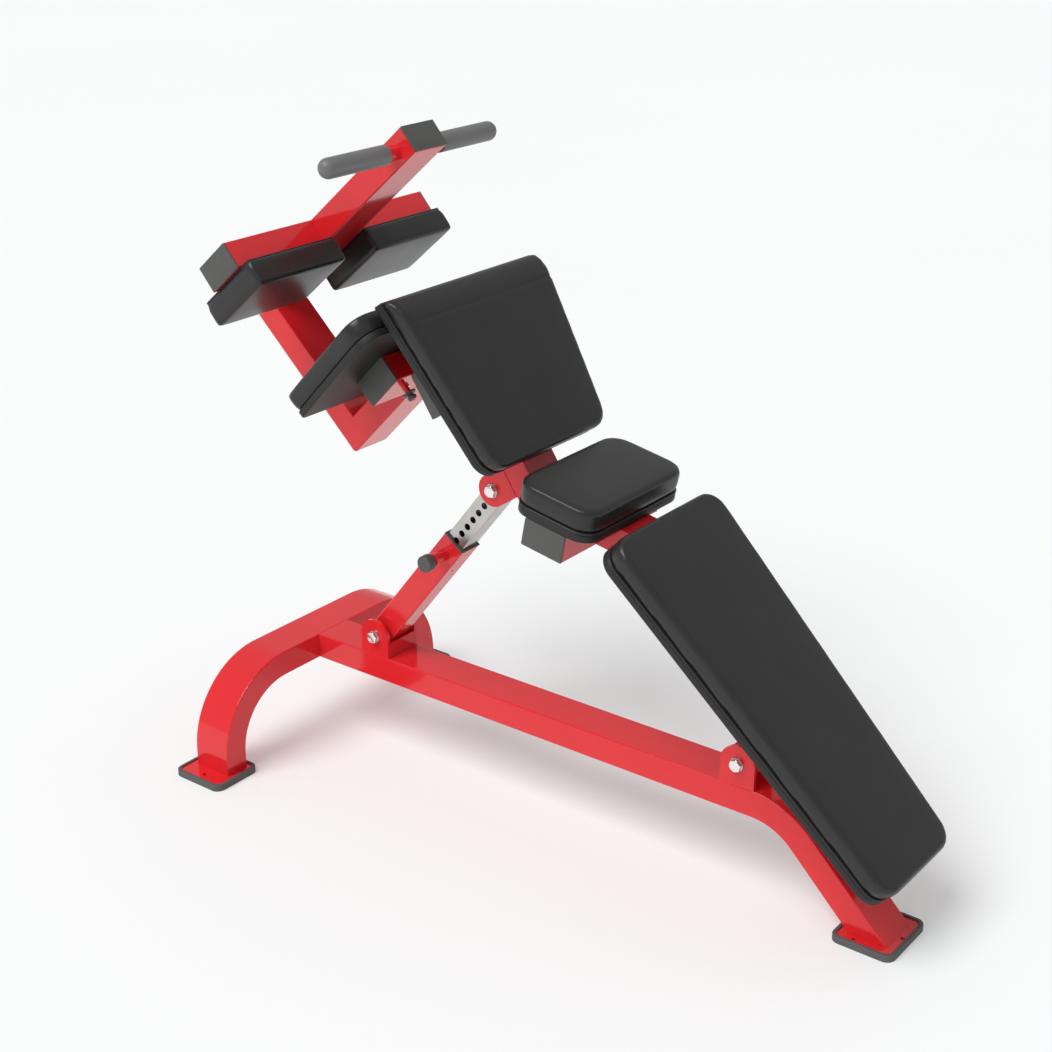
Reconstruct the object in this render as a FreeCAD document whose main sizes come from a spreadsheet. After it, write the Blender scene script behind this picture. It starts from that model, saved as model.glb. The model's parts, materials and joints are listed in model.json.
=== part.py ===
import FreeCAD, Part
import math
import os
import Sketcher

# Adjustable decline bench. All lengths are in millimetres, angles in degrees.
# X runs from the rear arch to the front foot, Y across the bench, Z up from the floor.
DIMS = {
    "centre_shift": 722.43,
    "tube_width": 100.0,
    "tube_depth": 60.0,
    "tube_wall": 3.0,
    "slope_upper": 56.0,
    "slope_mid": 10.6,
    "slope_lower": 43.7,
    "slope_calf": 44.0,
    "slope_handle": 49.0,
    "strut_angle": 51.8066,
    "frame_top": 250.0,
    "plate_top": 12.0,
    "plate_under": 4.0,
    "foot_rim": 15.0,
    "ear_thick": 8.0,
    "lug_thick": 8.0,
    "pivot_bore": 8.06,
    "bolt_shank": 8.0,
    "bolt_corner": 14.0,
    "washer_radius": 15.0,
    "washer_thick": 3.0,
    "strut_side": 60.0,
    "strut_wall": 4.0,
    "strut_inner_side": 50.0,
    "strut_inner_wall": 3.0,
    "strut_pitch": 25.4,
    "strut_length": 560.23,
    "strut_mouth": 357.0,
    "pin_station": 315.0,
    "cap_lid": 4.0,
    "cap_plug": 18.0,
    "short_cross_half": 172.0,
    "foot_cross_half": 308.0,
    "pad_board": 22.0,
    "edge_roll": 10.0,
    "tube_corner": 3.0,
    "handle_radius": 15.5,
    "grip_radius": 21.0,
}

doc = FreeCAD.newDocument("decline_bench")
sheet = doc.addObject("Spreadsheet::Sheet", "dims")
for row, (alias, number) in enumerate(DIMS.items(), start=1):
    sheet.set("A%d" % row, alias)
    sheet.set("B%d" % row, "%g" % number)
    sheet.setAlias("B%d" % row, alias)
doc.recompute()

HALF = DIMS["tube_width"] / 2
DEPTH = DIMS["tube_depth"]
WALL = DIMS["tube_wall"]

# Each frame is (sheet alias of its slope, base X, base Z). Local x runs down the slope and
# local z stands square to it.
FRAMES = {
    "level": (None, 0.0, 0.0),
    "upper": ("slope_upper", 0.0, 0.0),
    "mid": ("slope_mid", 0.0, 0.0),
    "lower": ("slope_lower", 0.0, 0.0),
    "calf": ("slope_calf", 0.0, 0.0),
    "handle": ("slope_handle", 86.0, 1240.0),
    "strut": ("strut_angle", 226.6, 296.2),
}
NORMAL_SIGN = {"XY_Plane": 1, "XZ_Plane": -1, "YZ_Plane": 1}
nodes = {}


def slope_of(frame):
    """Angle about +Y of a frame; the strut climbs, so its angle is negative."""
    alias = FRAMES[frame][0]
    if alias is None:
        return 0.0
    return -DIMS[alias] if frame == "strut" else DIMS[alias]


def to_level(frame, x, z):
    """Turns a local (x, z) of a frame into the level frame's X and Z."""
    _, base_x, base_z = FRAMES[frame]
    angle = math.radians(slope_of(frame))
    along = (math.cos(angle), -math.sin(angle))
    normal = (math.sin(angle), math.cos(angle))
    return (base_x + x * along[0] + z * normal[0], base_z + x * along[1] + z * normal[1])


def to_local(frame, x, z):
    """Turns level X and Z into a frame's local (x, z)."""
    _, base_x, base_z = FRAMES[frame]
    angle = math.radians(slope_of(frame))
    dx, dz = x - base_x, z - base_z
    return (dx * math.cos(angle) - dz * math.sin(angle), dx * math.sin(angle) + dz * math.cos(angle))


def new_body(name, frame="level", origin=(0.0, 0.0, 0.0)):
    """Starts a body in a frame, with its own origin at a local point (x, y, z)."""
    body = doc.addObject("PartDesign::Body", name)
    base_x, base_z = to_level(frame, origin[0], origin[2])
    alias = FRAMES[frame][0]
    body.Placement = FreeCAD.Placement(
        FreeCAD.Vector(base_x - DIMS["centre_shift"], origin[1], base_z),
        FreeCAD.Rotation(FreeCAD.Vector(0, 1, 0), slope_of(frame)))
    body.setExpression(".Placement.Base.x", "%.4f - dims.centre_shift" % base_x)
    if alias is not None and frame != "strut":
        body.setExpression(".Placement.Rotation.Angle", "dims.%s * 1 deg" % alias)
    return body


def outline(sketch, corners):
    """Draws a closed outline; a corner (x, y, radius) is rounded."""
    count = len(corners)
    legs = []
    for index, corner in enumerate(corners):
        here = FreeCAD.Vector(corner[0], corner[1], 0)
        radius = corner[2] if len(corner) > 2 else 0.0
        before = FreeCAD.Vector(corners[index - 1][0], corners[index - 1][1], 0)
        after = FreeCAD.Vector(corners[(index + 1) % count][0], corners[(index + 1) % count][1], 0)
        if radius <= 0:
            legs.append((here, None, here))
            continue
        back = (before - here).normalize()
        ahead = (after - here).normalize()
        half = back.getAngle(ahead) / 2
        reach = radius / math.tan(half)
        centre = here + (back + ahead).normalize() * (radius / math.sin(half))
        middle = centre + (here - centre).normalize() * radius
        legs.append((here + back * reach, middle, here + ahead * reach))
    for index, (start, middle, end) in enumerate(legs):
        if middle is not None:
            sketch.addGeometry(Part.Arc(start, middle, end), False)
        following = legs[(index + 1) % count][0]
        if end.distanceToPoint(following) > 1e-4:
            sketch.addGeometry(Part.LineSegment(end, following), False)


def sketch_on(body, plane, shapes, holes=(), level=0.0):
    """Adds a sketch on one of the body's own planes, moved along the plane's normal."""
    sketch = body.newObject("Sketcher::SketchObject", body.Name + "_sketch")
    support = [item for item in body.Origin.OriginFeatures if item.Role == plane][0]
    sketch.AttachmentSupport = [(support, "")]
    sketch.MapMode = "FlatFace"
    sketch.AttachmentOffset = FreeCAD.Placement(FreeCAD.Vector(0, 0, level), FreeCAD.Rotation())
    for corners in shapes:
        outline(sketch, corners)
    for x, y, radius in holes:
        circle = Part.Circle(FreeCAD.Vector(x, y, 0), FreeCAD.Vector(0, 0, 1), radius)
        sketch.addGeometry(circle, False)
    for index in range(sketch.GeometryCount):
        sketch.addConstraint(Sketcher.Constraint("Block", index))
    return sketch


def extrude(body, plane, shapes, low, high, holes=(), cut=False, length=None):
    """Pads (or cuts) shapes between two distances measured along the plane's world axis."""
    sign = NORMAL_SIGN[plane]
    start = low if sign > 0 else -high
    sketch = sketch_on(body, plane, shapes, holes, start)
    kind = "PartDesign::Pocket" if cut else "PartDesign::Pad"
    feature = body.newObject(kind, body.Name + ("_cut" if cut else "_pad"))
    feature.Profile = sketch
    feature.Length = high - low
    if length is not None:
        feature.setExpression("Length", length)
    if cut:
        feature.Reversed = True
    sketch.Visibility = False
    return feature


def soften(body, alias, chooser, share=1.0):
    """Rounds every edge that the chooser accepts; the chooser sees the edge's bounding box."""
    doc.recompute()
    tip = body.Tip
    names = []
    for index, edge in enumerate(tip.Shape.Edges, start=1):
        if chooser(edge.BoundBox):
            names.append("Edge%d" % index)
    fillet = body.newObject("PartDesign::Fillet", body.Name + "_fillet")
    fillet.Base = (tip, names)
    fillet.Radius = DIMS[alias] * share
    fillet.setExpression("Radius", "dims.%s * %.3f" % (alias, share))
    return fillet


def round_tube(body, long_enough=95.0):
    """Rounds the long corners of a tube; its cut ends stay square."""
    return soften(body, "tube_corner", lambda bound: bound.DiagonalLength > long_enough and
                  (bound.YLength < 0.01 or bound.YLength > long_enough))


def turned(name, frame, origin, corners, across=True):
    """Revolves a half profile: about Y when across is true, else about the frame's own x."""
    body = new_body(name, frame, origin)
    plane = "XY_Plane" if across else "XZ_Plane"
    sketch = sketch_on(body, plane, [corners])
    spin = body.newObject("PartDesign::Revolution", name + "_turn")
    spin.Profile = sketch
    spin.ReferenceAxis = (sketch, ["V_Axis" if across else "H_Axis"])
    spin.Angle = 360
    sketch.Visibility = False
    return body


def keep(node, *pieces):
    """Names the finished node; several pieces become one group of separate solids."""
    if len(pieces) == 1:
        pieces[0].Label = node
        nodes[node] = pieces[0]
        return
    for index, piece in enumerate(pieces, start=1):
        piece.Label = "%s_piece_%d" % (node, index)
    group = doc.addObject("Part::Compound", node + "_group")
    group.Links = list(pieces)
    group.Label = node
    nodes[node] = group


def box(x0, x1, y0, y1, radius=0.0):
    """Corners of a rectangle, all rounded alike."""
    return [(x0, y0, radius), (x1, y0, radius), (x1, y1, radius), (x0, y1, radius)]


def trapezoid(x0, half0, x1, half1, radius0, radius1):
    """Corners of a pad that narrows from half width half0 at x0 to half1 at x1."""
    return [(x0, -half0, radius0), (x1, -half1, radius1), (x1, half1, radius1), (x0, half0, radius0)]


def flat_part(name, frame, corners, low, high, holes=(), length=None):
    """A plate or bar whose side profile lies in XZ and whose thickness runs along Y."""
    body = new_body(name, frame)
    extrude(body, "XZ_Plane", [corners] if corners else [], low, high, holes, length=length)
    return body


def hollow(body, corners, drills=(), reach=2000.0):
    """Bores out a tube between its side walls, then drills it square to the frame's slope."""
    inside = HALF - WALL
    extrude(body, "XZ_Plane", [corners], -inside, inside, cut=True,
            length="dims.tube_width - 2 * dims.tube_wall")
    if drills:
        extrude(body, "XY_Plane", [], -reach, reach, drills, cut=True)


# ---------------------------------------------------------------- base frame
arch_half = 363.5
top = DIMS["frame_top"]
under = top - DEPTH
plate = DIMS["plate_top"]

arch = new_body("rear_arch")
extrude(arch, "YZ_Plane", [[
    (-arch_half, plate), (-arch_half, top, 200), (arch_half, top, 200), (arch_half, plate),
    (arch_half - DEPTH, plate), (arch_half - DEPTH, under, 140),
    (DEPTH - arch_half, under, 140), (DEPTH - arch_half, plate)]], -HALF, HALF, length="dims.tube_width")
soften(arch, "tube_corner", lambda bound: bound.XLength < 0.01 and bound.ZMax > plate + 0.1)
extrude(arch, "YZ_Plane", [[
    (WALL - arch_half, plate), (WALL - arch_half, top - WALL, 197), (arch_half - WALL, top - WALL, 197),
    (arch_half - WALL, plate), (arch_half - DEPTH + WALL, plate), (arch_half - DEPTH + WALL, under + WALL, 143),
    (DEPTH - arch_half - WALL, under + WALL, 143), (DEPTH - arch_half - WALL, plate)]],
    WALL - HALF, HALF - WALL, cut=True, length="dims.tube_width - 2 * dims.tube_wall")
keep("rear_arch", arch)

spine_front = 1541.7
slant = DEPTH * math.sqrt(2)
ramp = spine_front + plate


def spine_outline(inset, start):
    """Side profile of the spine, shrunk by a wall on the long faces."""
    shift = inset * math.sqrt(2)
    high = top - inset
    low = under + inset
    return [(start, high), (ramp - shift - high, high, 190 - inset), (ramp - shift - plate, plate),
            (ramp - slant + shift - plate, plate), (ramp - slant + shift - low, low, 130 + inset), (start, low)]


spine = flat_part("spine", "level", spine_outline(0, HALF), -HALF, HALF, length="dims.tube_width")
soften(spine, "tube_corner", lambda bound: bound.YLength < 0.01 and bound.ZMax > plate + 0.1 and
       bound.XMax > HALF + 0.1)
hollow(spine, spine_outline(WALL, HALF))
keep("spine", spine)

# Foot plates sit in rubber trays; two bolt holes go through each plate and tray.
FEET = {
    "rear_{}_left": ((-63, 63, -408, -295), [(0, -389, 5), (56, -325, 5)]),
    "rear_{}_right": ((-63, 63, 295, 408), [(0, 389, 5), (56, 325, 5)]),
    "front_{}": ((1437, 1556, -70, 70), [(1475, -60, 5), (1475, 60, 5), (1550, 0, 5)]),
}
for pattern, ((x0, x1, y0, y1), bores) in FEET.items():
    node = pattern.format("foot_plate")
    foot = new_body(node)
    extrude(foot, "XY_Plane", [box(x0, x1, y0, y1, 14)], DIMS["plate_under"], plate, bores,
            length="dims.plate_top - dims.plate_under")
    keep(node, foot)
    node = pattern.format("foot_pad")
    tray = new_body(node)
    extrude(tray, "XY_Plane", [box(x0 - 8, x1 + 8, y0 - 8, y1 + 8, 20)], 0, DIMS["foot_rim"], bores,
            length="dims.foot_rim")
    extrude(tray, "XY_Plane", [box(x0 - 0.2, x1 + 0.2, y0 - 0.2, y1 + 0.2, 14.2)],
            DIMS["plate_under"], DIMS["foot_rim"], cut=True, length="dims.foot_rim - dims.plate_under")
    soften(tray, "edge_roll", lambda bound: bound.ZMin > DIMS["foot_rim"] - 0.01 and
           (bound.XMin < x0 - 7 or bound.XMax > x1 + 7 or bound.YMin < y0 - 7 or bound.YMax > y1 + 7), 0.25)
    keep(node, tray)

# ---------------------------------------------------------------- lower clevises
REAR_PIVOT = (226.6, 296.2)
FRONT_PIVOT = (1189.0, 299.0)
ear = DIMS["ear_thick"]
bore = DIMS["pivot_bore"]


def ear_plate(name, pivot, radius, side):
    """One upright ear standing on the spine, rounded about its pivot."""
    x, z = pivot
    round_end = radius - 0.05
    corners = [(x - radius, top), (x + radius, top), (x + radius, z + radius, round_end),
               (x - radius, z + radius, round_end)]
    low = HALF - ear if side > 0 else -HALF
    return flat_part(name, "level", corners, low, low + ear, [(x, z, bore)], "dims.ear_thick")


for node, pivot in (("rear_clevis_ears", REAR_PIVOT), ("front_clevis_ears", FRONT_PIVOT)):
    keep(node, ear_plate(node + "_near", pivot, 40, -1), ear_plate(node + "_far", pivot, 40, 1))

web = flat_part("rear_clevis_web", "level", box(261, 266.5, top, 286), ear - HALF, HALF - ear,
                length="dims.tube_width - 2 * dims.ear_thick")
keep("rear_clevis_web", web)


def hexagon(x, z, corner):
    """Corners of a hexagon about a point."""
    turns = [math.radians(60 * step + 15) for step in range(6)]
    return [(x + corner * math.cos(turn), z + corner * math.sin(turn)) for turn in turns]


def pivot_hardware(name, pivot, half):
    """Bolt, nut and two washers through a clevis whose outer faces lie at plus and minus half."""
    x, z = pivot
    thick = DIMS["washer_thick"]
    head = flat_part(name + "_bolt", "level", hexagon(x, z, DIMS["bolt_corner"]), -half - thick - 9, -half - thick)
    extrude(head, "XZ_Plane", [], -half - thick, half + thick + 17, [(x, z, DIMS["bolt_shank"])])
    nut = flat_part(name + "_nut", "level", hexagon(x, z, DIMS["bolt_corner"]), half + thick, half + thick + 13,
                    [(x, z, bore)])
    rings = []
    for index, low in enumerate((-half - thick, half)):
        circles = [(x, z, DIMS["washer_radius"]), (x, z, bore)]
        rings.append(flat_part("%s_washer_%d" % (name, index), "level", None, low, low + thick, circles,
                               "dims.washer_thick"))
    return head, nut, rings


rear_bolt, rear_nut, rear_rings = pivot_hardware("rear", REAR_PIVOT, HALF)
front_bolt, front_nut, front_rings = pivot_hardware("front", FRONT_PIVOT, HALF)
keep("lower_pivot_bolts", rear_bolt, front_bolt)
keep("lower_pivot_nuts", rear_nut, front_nut)
keep("lower_pivot_washers", *(rear_rings + front_rings))

# ---------------------------------------------------------------- bench beam
BEAM_TOP = {"upper": 1000.0, "mid": 885.0, "lower": 1163.5}
ARM_U = (-435.0, -375.0)
LOWER_END = 926.0


def meet(frame_a, z_a, frame_b, z_b):
    """Level X and Z where two faces, each a constant local z of its frame, cross."""
    angle_a = math.radians(slope_of(frame_a))
    angle_b = math.radians(slope_of(frame_b))
    offset_a = z_a + FRAMES[frame_a][1] * math.sin(angle_a) + FRAMES[frame_a][2] * math.cos(angle_a)
    offset_b = z_b + FRAMES[frame_b][1] * math.sin(angle_b) + FRAMES[frame_b][2] * math.cos(angle_b)
    det = math.sin(angle_a) * math.cos(angle_b) - math.cos(angle_a) * math.sin(angle_b)
    x = (offset_a * math.cos(angle_b) - offset_b * math.cos(angle_a)) / det
    z = (math.sin(angle_a) * offset_b - math.sin(angle_b) * offset_a) / det
    return x, z


def arm_face(upper_z, calf_x):
    """Level X and Z where the upper beam's face crosses a face of the lower arm."""
    angle = math.radians(slope_of("upper") - slope_of("calf"))
    return to_level("calf", calf_x, (upper_z - calf_x * math.sin(angle)) / math.cos(angle))


def beam_outline(inset):
    """Side profile of the three-part beam, shrunk by a wall on its long faces."""
    high = {frame: level - inset for frame, level in BEAM_TOP.items()}
    low = {frame: level - DEPTH + inset for frame, level in BEAM_TOP.items()}
    return [arm_face(high["upper"], ARM_U[1]), meet("upper", high["upper"], "mid", high["mid"]),
            meet("mid", high["mid"], "lower", high["lower"]), to_level("lower", LOWER_END, high["lower"]),
            to_level("lower", LOWER_END, low["lower"]), meet("mid", low["mid"], "lower", low["lower"]),
            meet("upper", low["upper"], "mid", low["mid"]), arm_face(low["upper"], ARM_U[1])]


beam = flat_part("main_beam", "level", beam_outline(0), -HALF, HALF, length="dims.tube_width")
round_tube(beam)
hollow(beam, beam_outline(WALL))

# The back pad's two screws pass square through the lower run.
BACK_SCREWS = (420.0, 840.0)
drills = []
for index, station in enumerate(BACK_SCREWS):
    drill_x, drill_z = to_level("lower", station, 1090.0)
    drill = doc.addObject("Part::Cylinder", "beam_drill_%d" % index)
    drill.Radius = 4.2
    drill.Height = 85
    drill.Placement = FreeCAD.Placement(
        FreeCAD.Vector(drill_x - DIMS["centre_shift"], 0, drill_z),
        FreeCAD.Rotation(FreeCAD.Vector(0, 1, 0), DIMS["slope_lower"]))
    drill.setExpression(".Placement.Base.x", "%.4f - dims.centre_shift" % drill_x)
    drills.append(drill)
drill_pair = doc.addObject("Part::Compound", "beam_drills")
drill_pair.Links = drills
drilled_beam = doc.addObject("Part::Cut", "drilled_beam")
drilled_beam.Base = beam
drilled_beam.Tool = drill_pair
beam.Label = "main_beam_tube"
keep("main_beam", drilled_beam)

beam_cap = flat_part("beam_end_cap", "lower", box(LOWER_END, LOWER_END + 4, 1103.5, 1163.5), -HALF, HALF,
                     length="dims.tube_width")
extrude(beam_cap, "XZ_Plane", [box(LOWER_END - 18, LOWER_END, 1106.7, 1160.3)], -46.8, 46.8)
keep("beam_end_cap", beam_cap)

# Tilt lug under the beam: two plates and a bush that turns on the front pivot bolt.
lug_x, lug_z = to_local("lower", *FRONT_PIVOT)
lug_corners = [(lug_x - 36, BEAM_TOP["lower"] - DEPTH), (lug_x + 36, BEAM_TOP["lower"] - DEPTH),
               (lug_x + 36, lug_z - 36, 35.95), (lug_x - 36, lug_z - 36, 35.95)]
lugs = []
for index, low in enumerate((-38.0, 30.0)):
    lugs.append(flat_part("tilt_lug_plate_%d" % index, "lower", lug_corners, low, low + DIMS["lug_thick"],
                          [(lug_x, lug_z, 17.05)], "dims.lug_thick"))
keep("tilt_lug_plates", *lugs)
bush = flat_part("tilt_bush", "lower", None, -41.7, 41.7, [(lug_x, lug_z, 17), (lug_x, lug_z, bore)])
keep("tilt_bush", bush)

# Strut tabs under the beam, flush with its sides.
UPPER_PIVOT = (573.0, 736.5)
tab_x, tab_z = to_local("upper", *UPPER_PIVOT)
tab_corners = [(tab_x - 36, BEAM_TOP["upper"] - DEPTH), (tab_x - 36, tab_z - 36, 35.95),
               (tab_x + 36, tab_z - 36, 35.95), (tab_x + 36, BEAM_TOP["upper"] - DEPTH)]
tabs = []
for index, low in enumerate((-HALF, HALF - ear)):
    tabs.append(flat_part("strut_tab_%d" % index, "upper", tab_corners, low, low + ear, [(tab_x, tab_z, bore)],
                          "dims.ear_thick"))
keep("strut_tabs", *tabs)
upper_bolt, upper_nut, upper_rings = pivot_hardware("upper", UPPER_PIVOT, HALF)
keep("upper_pivot_bolt", upper_bolt)
keep("upper_pivot_nut", upper_nut)
keep("upper_pivot_washers", *upper_rings)
spacers = []
for index, (low, high) in enumerate(((ear - HALF, -25.4), (25.4, HALF - ear))):
    circles = [(UPPER_PIVOT[0], UPPER_PIVOT[1], 16.5), (UPPER_PIVOT[0], UPPER_PIVOT[1], bore)]
    spacers.append(flat_part("upper_spacer_%d" % index, "level", None, low, high, circles))
keep("upper_pivot_spacers", *spacers)

# ---------------------------------------------------------------- cross tubes and caps
# node: (frame, local x range, local z range, half length, screw stations)
CROSS = {
    "seat_cross_tubes": ("mid", (599, 699), (825, 885), "short_cross_half", [(649, 106)]),
    "thigh_cross_tubes": ("upper", (-568.7, -468.7), (940, 1000), "short_cross_half", [(-518.7, 106)]),
    "calf_cross_tubes": ("calf", (-435, -375), (901, 1001), "short_cross_half", []),
    "foot_cross_tubes": ("handle", (0, 60), (-100, 0), "foot_cross_half", []),
}
caps = []
for node, (frame, (x0, x1), (z0, z1), half_alias, stations) in CROSS.items():
    outer = DIMS[half_alias]
    stubs = []
    for side in (-1, 1):
        end = outer - DIMS["cap_lid"]
        low, high = (HALF, end) if side > 0 else (-end, -HALF)
        stub = flat_part("%s_%d" % (node, side + 1), frame, box(x0, x1, z0, z1), low, high,
                         length="dims.%s - dims.cap_lid - dims.tube_width / 2" % half_alias)
        soften(stub, "tube_corner", lambda bound: bound.YLength > 60)
        extrude(stub, "XZ_Plane", [box(x0 + WALL, x1 - WALL, z0 + WALL, z1 - WALL)], low, high, cut=True)
        if stations:
            extrude(stub, "XY_Plane", [], -2000, 2000, [(x, side * y, 4.2) for x, y in stations], cut=True)
        if node == "calf_cross_tubes":
            extrude(stub, "YZ_Plane", [], -2000, 2000, [(side * 106, 951, 4.2)], cut=True)
        stubs.append(stub)
        low, high = (end, outer) if side > 0 else (-outer, -end)
        cap = flat_part("cap_%s_%d" % (node, side + 1), frame, box(x0, x1, z0, z1, 2.5), low, high,
                        length="dims.cap_lid")
        low, high = (end - DIMS["cap_plug"], end) if side > 0 else (-end, DIMS["cap_plug"] - end)
        inset = WALL + 0.2
        extrude(cap, "XZ_Plane", [box(x0 + inset, x1 - inset, z0 + inset, z1 - inset)], low, high,
                length="dims.cap_plug")
        caps.append(cap)
    keep(node, *stubs)
keep("cross_tube_caps", *caps)

# ---------------------------------------------------------------- leg support frame
POST_LOW = 657.6
POST_HIGH = POST_LOW + DEPTH


def arm_corner(calf_z, handle_x):
    """Level X and Z where a face of the post crosses a face of the handle arm."""
    angle = math.radians(slope_of("handle"))
    calf = math.radians(slope_of("calf"))
    offset = handle_x + 86 * math.cos(angle) - 1240 * math.sin(angle)
    # x cos(a) - z sin(a) = offset and x sin(c) + z cos(c) = calf_z
    det = math.cos(angle) * math.cos(calf) + math.sin(angle) * math.sin(calf)
    x = (offset * math.cos(calf) + calf_z * math.sin(angle)) / det
    z = (calf_z * math.cos(angle) - offset * math.sin(calf)) / det
    return x, z


def lower_arm_outline(inset):
    """Side profile of the arm that hangs from the beam's upper end."""
    back, front = ARM_U[0] + inset, ARM_U[1] - inset
    return [(back, POST_HIGH - inset), (back, 1100), (front, 1100), (front, POST_LOW + inset)]


lower_arm = flat_part("lower_arm", "calf", lower_arm_outline(0), -HALF, HALF, length="dims.tube_width")
round_tube(lower_arm)
hollow(lower_arm, lower_arm_outline(WALL))
keep("lower_arm", lower_arm)


def post_outline(inset):
    """Side profile of the post that climbs from the lower arm to the handle arm."""
    return [to_level("calf", ARM_U[0] + inset, POST_HIGH - inset), to_level("calf", ARM_U[1] - inset, POST_LOW + inset),
            arm_corner(POST_LOW + inset, inset), arm_corner(POST_HIGH - inset, DEPTH - inset)]


post = flat_part("post", "level", post_outline(0), -HALF, HALF, length="dims.tube_width")
round_tube(post)
hollow(post, post_outline(WALL))
keep("post", post)

ARM_END = 340.0


def handle_arm_outline(inset):
    """Side profile of the handle arm."""
    return [to_level("handle", inset, ARM_END), to_level("handle", DEPTH - inset, ARM_END),
            arm_corner(POST_HIGH - inset, DEPTH - inset), arm_corner(POST_LOW + inset, inset)]


handle_x, handle_z = to_level("handle", 31, 296)
handle_arm = flat_part("handle_arm", "level", handle_arm_outline(0), -HALF, HALF, length="dims.tube_width")
round_tube(handle_arm)
hollow(handle_arm, handle_arm_outline(WALL))
extrude(handle_arm, "XZ_Plane", [], -HALF - 1, HALF + 1, [(handle_x, handle_z, DIMS["handle_radius"])], cut=True)
keep("handle_arm", handle_arm)

arm_cap = flat_part("handle_arm_cap", "handle", box(0, 60, ARM_END, ARM_END + 4), -HALF, HALF,
                    length="dims.tube_width")
extrude(arm_cap, "XZ_Plane", [box(3.2, 56.8, ARM_END - 18, ARM_END)], -46.8, 46.8)
keep("handle_arm_cap", arm_cap)

bar = flat_part("handle_bar", "level", None, -255, 255, [(handle_x, handle_z, DIMS["handle_radius"])])
keep("handle_bar", bar)
grip = DIMS["grip_radius"]
for side, node in ((-1, "handle_grip_left"), (1, "handle_grip_right")):
    inner = DIMS["handle_radius"] + 0.05
    sleeve = turned(node, "level", (handle_x, 0, handle_z), [
        (inner, side * 82), (grip, side * 82, 2), (grip, side * 268, grip - 0.1), (0, side * 268),
        (0, side * 255.1), (inner, side * 255.1)])
    keep(node, sleeve)

# Small pegs with a collar on the underside of the calf cross tube.
barrels, knobs = [], []
for side in (-1, 1):
    barrels.append(turned("peg_barrel_%d" % (side + 1), "calf", (-375, side * 146, 983), [
        (0, 0), (0, 7), (28, 7), (28, 0)], across=False))
    knobs.append(turned("peg_knob_%d" % (side + 1), "calf", (-375, side * 146, 983), [
        (28, 0), (28, 15, 1), (32, 15, 1), (32, 6), (36, 6), (36, 10, 3), (45, 10, 4), (45, 0)], across=False))
keep("peg_barrels", *barrels)
keep("peg_knobs", *knobs)

# ---------------------------------------------------------------- pads
# node stem: (frame, base z, direction, board and cushion thickness, plan, screw holes)
board_thick = DIMS["pad_board"]


def pad_pair(stem, frame, base, total, plan, screws):
    """Plywood board and the cushion on it, both cut to one plan in the frame's xy plane."""
    board = new_body(stem + "_board", frame)
    extrude(board, "XY_Plane", [plan], base, base + board_thick, screws, length="dims.pad_board")
    keep(stem + "_board", board)
    cushion = new_body(stem + "_cushion", frame)
    extrude(cushion, "XY_Plane", [plan], base + board_thick, base + total)
    return cushion


def roll_edges(cushion, face_z):
    """Rolls the edges around the cushion's face."""
    return soften(cushion, "edge_roll", lambda bound: bound.ZMin > face_z - 0.05)


back = pad_pair("back_pad", "lower", 1163.5, 62.2, trapezoid(169.4, 184, 1015.8, 136.5, 45, 45),
                [(station, 0, 4) for station in BACK_SCREWS])
roll_edges(back, 1225.7)
keep("back_pad_cushion", back)
seat = pad_pair("seat_pad", "mid", 885.0, 70.0, trapezoid(557, 172, 752, 172, 45, 45),
                [(649, -106, 4), (649, 106, 4)])
roll_edges(seat, 955.0)
keep("seat_pad_cushion", seat)

# The thigh cushion's upper end rolls over in one large curve down to the board.
thigh_plan = trapezoid(-711.6, 243.4, -312.7, 189.4, 3, 45)
thigh = pad_pair("thigh_pad", "upper", 1000.0, 60.0, thigh_plan, [(-518.7, -106, 4), (-518.7, 106, 4)])
extrude(thigh, "XZ_Plane", [[(-760, 1026), (-710, 1026), (-690, 1047.5, 60), (-646, 1060.2, 60), (-600, 1060.2), (-600, 1100),
                             (-760, 1100)]], -300, 300, cut=True)
keep("thigh_pad_cushion", thigh)

# Calf pad: its face looks back, away from the frame, so its board lies at the larger x.
CALF_BACK = -435.0
calf_plan = [(-283, 815, 18), (283, 815, 18), (292, 1108, 44), (-292, 1108, 44)]
calf_board = new_body("calf_pad_board", "calf")
extrude(calf_board, "YZ_Plane", [calf_plan], CALF_BACK - 15, CALF_BACK, [(-106, 951, 4), (106, 951, 4)])
keep("calf_pad_board", calf_board)
calf = new_body("calf_pad_cushion", "calf")
extrude(calf, "YZ_Plane", [calf_plan], CALF_BACK - 58, CALF_BACK - 15)
keep("calf_pad_cushion", calf)

shin_boards = []
for side, node in ((-1, "shin_pad_cushion_left"), (1, "shin_pad_cushion_right")):
    low, high = (45, 305) if side > 0 else (-305, -45)
    plan = box(low, high, -150, 31, 8)
    shin_board = new_body("shin_board_%d" % (side + 1), "handle")
    extrude(shin_board, "YZ_Plane", [plan], 60, 72)
    shin_boards.append(shin_board)
    shin = new_body(node, "handle")
    extrude(shin, "YZ_Plane", [plan], 72, 118)
    keep(node, shin)
keep("shin_pad_boards", *shin_boards)

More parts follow.
